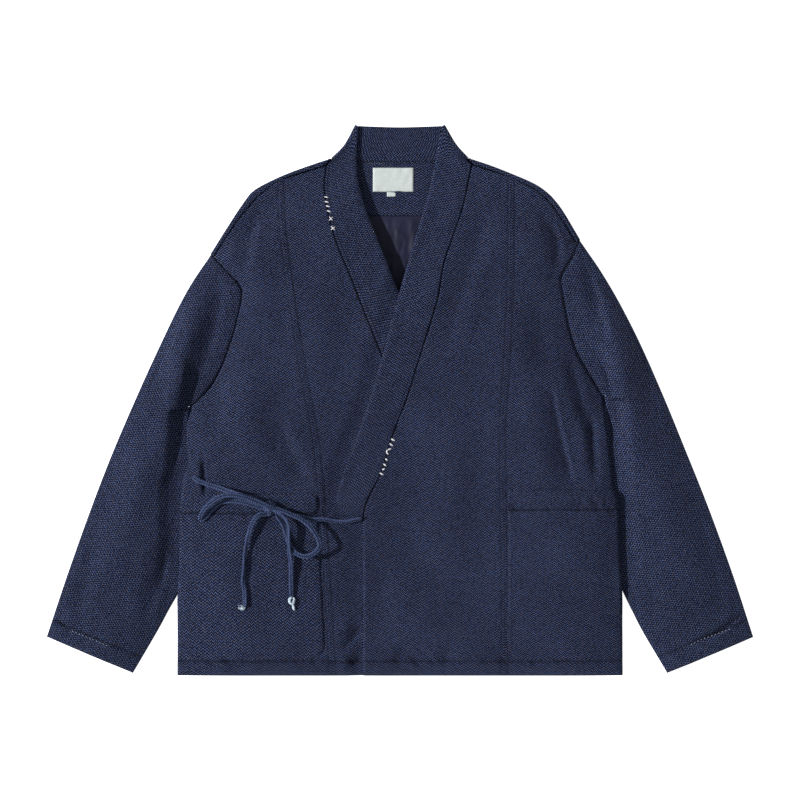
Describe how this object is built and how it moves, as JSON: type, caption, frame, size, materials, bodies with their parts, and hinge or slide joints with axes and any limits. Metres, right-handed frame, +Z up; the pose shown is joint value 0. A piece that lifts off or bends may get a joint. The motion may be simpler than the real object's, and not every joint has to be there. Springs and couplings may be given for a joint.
{
  "type": "kimono jacket",
  "caption": "Short padded wrap jacket in indigo dobby cloth, laid flat with its front up: deep collar band, wide sleeves, patch pockets and a tied bow.",
  "frame": {"origin": "middle of the jacket's outline, on the surface it lies on", "axes": "+X to the viewer's right across the jacket, +Y toward its neck, +Z up off the surface"},
  "size_m": [0.939, 0.732, 0.0512],
  "materials": {
    "padded_cloth": "matt dark indigo dobby weave in fine zigzag rows",
    "lining": "smooth satin lining, almost black navy",
    "label": "blank off-white woven label",
    "tie_cloth": "narrow folded tie of the same indigo cloth"
  },
  "bodies": {
    "root": {"back": "padded_cloth", "side_front_left": "padded_cloth", "centre_front_left": "padded_cloth", "side_front_right": "padded_cloth", "centre_front_right": "padded_cloth", "sleeve_left": "padded_cloth", "sleeve_right": "padded_cloth", "collar_band": "padded_cloth", "neck_facing": "padded_cloth", "pocket_left": "padded_cloth", "pocket_right": "padded_cloth", "back_lining": "lining", "neck_label": "label", "size_tab": "label", "tie_side_run": "tie_cloth", "tie_front_run": "tie_cloth", "bow_loop_left": "tie_cloth", "bow_loop_right": "tie_cloth", "bow_end_left": "tie_cloth", "bow_end_right": "tie_cloth", "bow_knot": "tie_cloth"}
  },
  "joints": []
}
